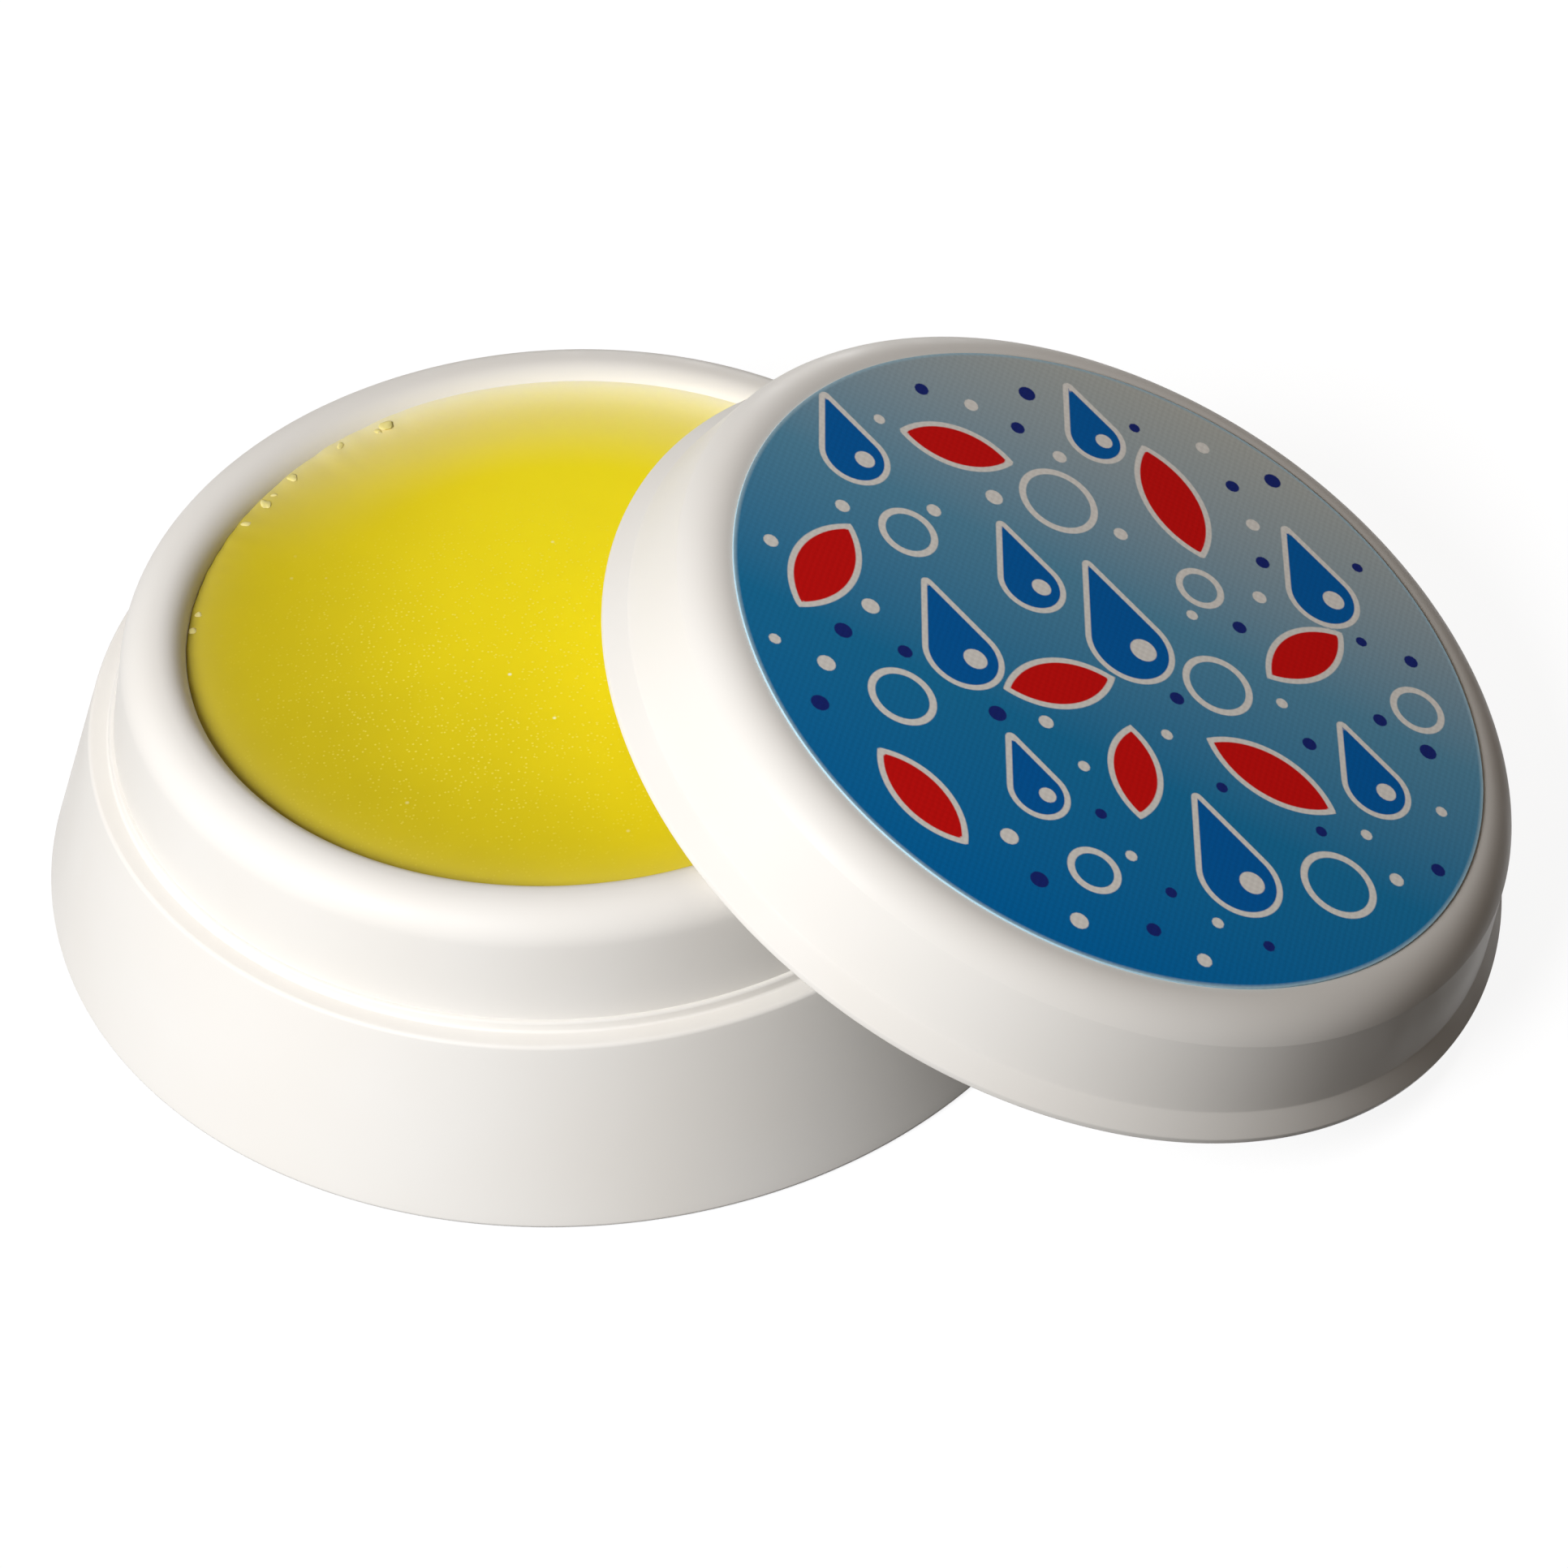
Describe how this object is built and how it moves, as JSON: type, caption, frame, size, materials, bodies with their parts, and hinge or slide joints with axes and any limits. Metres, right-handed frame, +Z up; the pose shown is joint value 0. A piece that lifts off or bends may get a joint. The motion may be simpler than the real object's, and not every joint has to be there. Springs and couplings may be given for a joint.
{
  "type": "finger moistener",
  "caption": "Round desk dish of moistening gel with a flared skirt and a rounded rim, its shallow lipped lid taken off and leaning on the rim.",
  "frame": {"origin": "on the dish's axis, in the plane of the foot ring's underside", "axes": "+Z up along the dish's axis, +X to the side that the lid leans out to, -Y to the front"},
  "size_m": [0.1163, 0.0896, 0.0378],
  "materials": {
    "dish_plastic": "moulded white polystyrene, satin gloss",
    "gel": "soft cast gel, damp satin",
    "lid_plastic": "moulded white polystyrene, satin gloss",
    "label_film": "printed label with a fine linen texture"
  },
  "bodies": {
    "dish": {"dish_moulding": "dish_plastic", "gel_cake": "gel"},
    "lid": {"lid_moulding": "lid_plastic", "lid_label": "label_film"}
  },
  "joints": [
    {"name": "lid_lift", "type": "slide", "parent": "dish", "child": "lid", "axis": [0, 0, 1], "range_m": [0, 0.06]}
  ]
}
